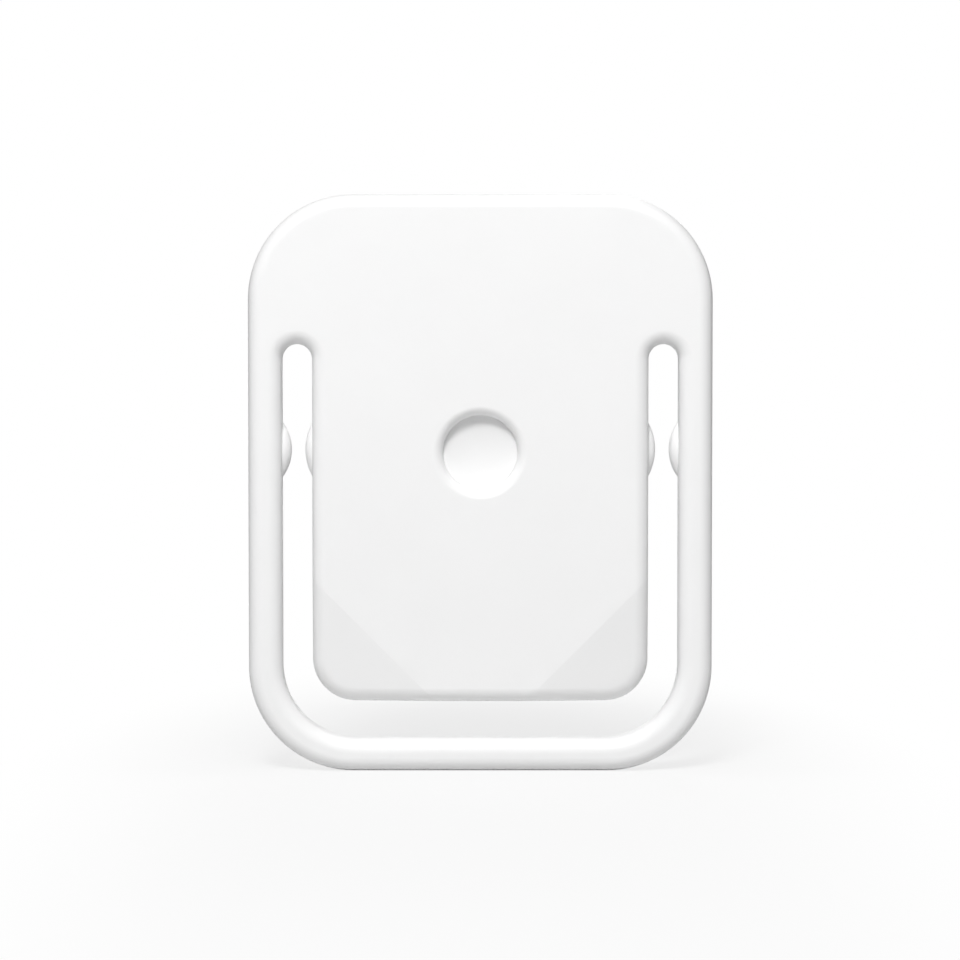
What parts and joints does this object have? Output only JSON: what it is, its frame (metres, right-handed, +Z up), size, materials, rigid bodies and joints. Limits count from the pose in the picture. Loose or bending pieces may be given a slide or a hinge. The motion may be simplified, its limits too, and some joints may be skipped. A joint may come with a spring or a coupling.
{
  "type": "core body temperature sensor",
  "caption": "Flat white wearable sensor for core body temperature, with a strap loop round its tongue, a dished push button and a metal skin contact disc.",
  "frame": {"origin": "under the middle of the part, at the height of the strap loop's lowest edge, half way through the thickness", "axes": "+Z up towards the head end, -Y out of the front face, +Y out of the skin side, +X to the right seen from the front"},
  "size_m": [0.04, 0.0084, 0.0497],
  "materials": {
    "shell_white": "fine satin",
    "cover_white": "fine satin",
    "seal_rubber": "silicone",
    "switch_black": "moulded",
    "switch_grey": "moulded",
    "board_green": "solder mask",
    "chip_black": "moulded epoxy",
    "ceramic_white": "fired ceramic",
    "ferrite_grey": "sintered",
    "can_steel": "plated",
    "capacitor_tan": "fired ceramic",
    "led_clear": "clear",
    "pouch_foil": "satin foil",
    "foam_grey": "closed-cell foam",
    "lead_red": "satin",
    "lead_black": "satin",
    "disc_steel": "fine turned",
    "ring_grey": "soft matt",
    "spreader_aluminium": "plain",
    "pad_blue": "soft",
    "flex_amber": "film",
    "contact_gold": "gold plated",
    "magnet_nickel": "nickel plated"
  },
  "bodies": {
    "housing": {"front_shell": "shell_white", "rear_cover": "cover_white", "perimeter_seal": "seal_rubber", "switch_base": "switch_black", "main_board": "board_green", "radio_chip": "chip_black", "sensor_chip": "chip_black", "memory_chip": "chip_black", "charger_chip": "chip_black", "chip_antenna": "ceramic_white", "power_inductor": "ferrite_grey", "ambient_thermistor": "ferrite_grey", "crystals": "can_steel", "capacitors": "capacitor_tan", "resistors": "chip_black", "status_led": "led_clear", "light_pipe": "led_clear", "battery_pouch": "pouch_foil", "battery_foam": "foam_grey", "battery_board": "board_green", "battery_lead_red": "lead_red", "battery_lead_black": "lead_black", "contact_disc": "disc_steel", "sensor_ring": "ring_grey", "heat_flux_sensor": "ceramic_white", "heat_spreader": "spreader_aluminium", "thermal_pad": "pad_blue", "skin_thermistor": "ferrite_grey", "sensor_flex": "flex_amber", "charge_contacts": "contact_gold", "charger_magnets": "magnet_nickel"},
    "button": {"button_cap": "shell_white", "button_seal": "seal_rubber"},
    "plunger": {"switch_plunger": "switch_grey"}
  },
  "joints": [
    {"name": "button_press", "type": "slide", "parent": "housing", "child": "button", "axis": [0, 1, 0], "range_m": [0, 0.0003], "stiffness_N_per_m": 3000},
    {"name": "plunger_press", "type": "slide", "parent": "housing", "child": "plunger", "axis": [0, 1, 0], "range_m": [0, 0.0003]}
  ],
  "couplings": [
    {"joint": "plunger_press", "follows": "button_press", "ratio": 1}
  ]
}
